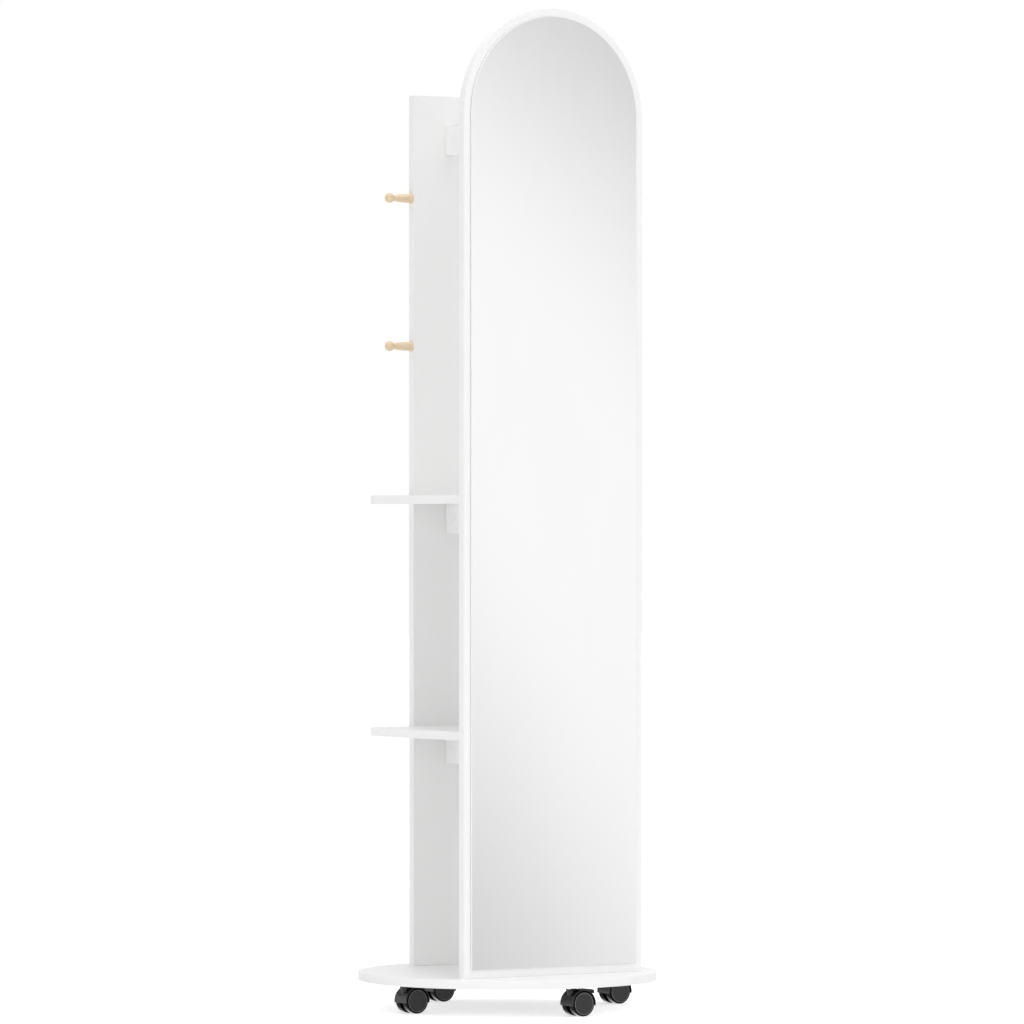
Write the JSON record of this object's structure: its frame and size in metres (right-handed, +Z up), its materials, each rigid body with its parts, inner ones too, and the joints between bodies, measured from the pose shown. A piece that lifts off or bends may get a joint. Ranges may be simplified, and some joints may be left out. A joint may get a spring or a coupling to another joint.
{
  "type": "mobile mirror with storage",
  "caption": "Arched full-length mirror on a round base with casters, with a narrow rear board, shelves between them and wooden coat pegs.",
  "frame": {"origin": "on the floor, under the middle of the round base", "axes": "+Z up, -Y out of the mirror face, +X to the viewer's right when facing the mirror"},
  "size_m": [0.5199, 0.52, 1.7308],
  "materials": {
    "white_laminate": "white melamine-faced board, satin",
    "mirror_silver": "silvered float glass",
    "foam_tape": "double-sided foam tape",
    "zinc_steel": "bright zinc plated",
    "zinc_cast": "die-cast zinc, white lacquer",
    "dowel_wood": "fluted beech dowel",
    "beech": "turned light beech, clear lacquer",
    "black_plastic": "satin moulded nylon",
    "black_wheel": "moulded nylon, glossy tread",
    "black_steel": "black e-coat"
  },
  "bodies": {
    "stand": {"base_disc": "white_laminate", "mirror_board": "white_laminate", "back_board": "white_laminate", "mirror_glass": "mirror_silver", "mirror_tape": "foam_tape", "shelf_lower": "white_laminate", "shelf_upper": "white_laminate", "rail_top": "white_laminate", "rail_upper": "white_laminate", "rail_lower": "white_laminate", "base_screws": "zinc_steel", "peg_left_upper": "beech", "peg_left_lower": "beech", "peg_right_upper": "beech", "peg_right_lower": "beech", "peg_screws": "zinc_steel", "caster_screws": "zinc_steel", "cam_locks": "zinc_cast", "cam_bolts": "zinc_steel", "dowels": "dowel_wood", "caster_front_plate": "black_steel", "caster_front_kingpin": "zinc_steel", "caster_right_plate": "black_steel", "caster_right_kingpin": "zinc_steel", "caster_back_plate": "black_steel", "caster_back_kingpin": "zinc_steel", "caster_left_plate": "black_steel", "caster_left_kingpin": "zinc_steel"},
    "caster_front": {"caster_front_hood": "black_plastic", "caster_front_axle": "zinc_steel", "caster_front_lever_pin": "zinc_steel"},
    "caster_front_wheel_a": {"caster_front_wheel_a": "black_wheel"},
    "caster_front_wheel_b": {"caster_front_wheel_b": "black_wheel"},
    "caster_front_lever": {"caster_front_lever": "black_plastic"},
    "caster_right": {"caster_right_hood": "black_plastic", "caster_right_axle": "zinc_steel"},
    "caster_right_wheel_a": {"caster_right_wheel_a": "black_wheel"},
    "caster_right_wheel_b": {"caster_right_wheel_b": "black_wheel"},
    "caster_back": {"caster_back_hood": "black_plastic", "caster_back_axle": "zinc_steel", "caster_back_lever_pin": "zinc_steel"},
    "caster_back_wheel_a": {"caster_back_wheel_a": "black_wheel"},
    "caster_back_wheel_b": {"caster_back_wheel_b": "black_wheel"},
    "caster_back_lever": {"caster_back_lever": "black_plastic"},
    "caster_left": {"caster_left_hood": "black_plastic", "caster_left_axle": "zinc_steel"},
    "caster_left_wheel_a": {"caster_left_wheel_a": "black_wheel"},
    "caster_left_wheel_b": {"caster_left_wheel_b": "black_wheel"}
  },
  "joints": [
    {"name": "front_swivel", "type": "hinge", "parent": "stand", "child": "caster_front", "pos_m": [-0.01, -0.212, 0.0395], "axis": [0, 0, 1], "continuous": true},
    {"name": "front_wheel_a_spin", "type": "hinge", "parent": "caster_front", "child": "caster_front_wheel_a", "pos_m": [0.004, -0.212, 0.022], "axis": [0, 1, 0], "continuous": true},
    {"name": "front_wheel_b_spin", "type": "hinge", "parent": "caster_front", "child": "caster_front_wheel_b", "pos_m": [0.004, -0.212, 0.022], "axis": [0, 1, 0], "continuous": true},
    {"name": "front_brake_press", "type": "hinge", "parent": "caster_front", "child": "caster_front_lever", "pos_m": [0.014, -0.212, 0.0442], "axis": [0, 1, 0], "range_deg": [0, 7]},
    {"name": "right_swivel", "type": "hinge", "parent": "stand", "child": "caster_right", "pos_m": [0.212, 0, 0.0395], "axis": [0, 0, 1], "continuous": true},
    {"name": "right_wheel_a_spin", "type": "hinge", "parent": "caster_right", "child": "caster_right_wheel_a", "pos_m": [0.226, 0, 0.022], "axis": [0, 1, 0], "continuous": true},
    {"name": "right_wheel_b_spin", "type": "hinge", "parent": "caster_right", "child": "caster_right_wheel_b", "pos_m": [0.226, 0, 0.022], "axis": [0, 1, 0], "continuous": true},
    {"name": "back_swivel", "type": "hinge", "parent": "stand", "child": "caster_back", "pos_m": [-0.018, 0.212, 0.0395], "axis": [0, 0, 1], "continuous": true},
    {"name": "back_wheel_a_spin", "type": "hinge", "parent": "caster_back", "child": "caster_back_wheel_a", "pos_m": [-0.004, 0.212, 0.022], "axis": [0, 1, 0], "continuous": true},
    {"name": "back_wheel_b_spin", "type": "hinge", "parent": "caster_back", "child": "caster_back_wheel_b", "pos_m": [-0.004, 0.212, 0.022], "axis": [0, 1, 0], "continuous": true},
    {"name": "back_brake_press", "type": "hinge", "parent": "caster_back", "child": "caster_back_lever", "pos_m": [0.006, 0.212, 0.0442], "axis": [0, 1, 0], "range_deg": [0, 7]},
    {"name": "left_swivel", "type": "hinge", "parent": "stand", "child": "caster_left", "pos_m": [-0.212, 0, 0.0395], "axis": [0, 0, 1], "continuous": true},
    {"name": "left_wheel_a_spin", "type": "hinge", "parent": "caster_left", "child": "caster_left_wheel_a", "pos_m": [-0.198, 0, 0.022], "axis": [0, 1, 0], "continuous": true},
    {"name": "left_wheel_b_spin", "type": "hinge", "parent": "caster_left", "child": "caster_left_wheel_b", "pos_m": [-0.198, 0, 0.022], "axis": [0, 1, 0], "continuous": true}
  ]
}
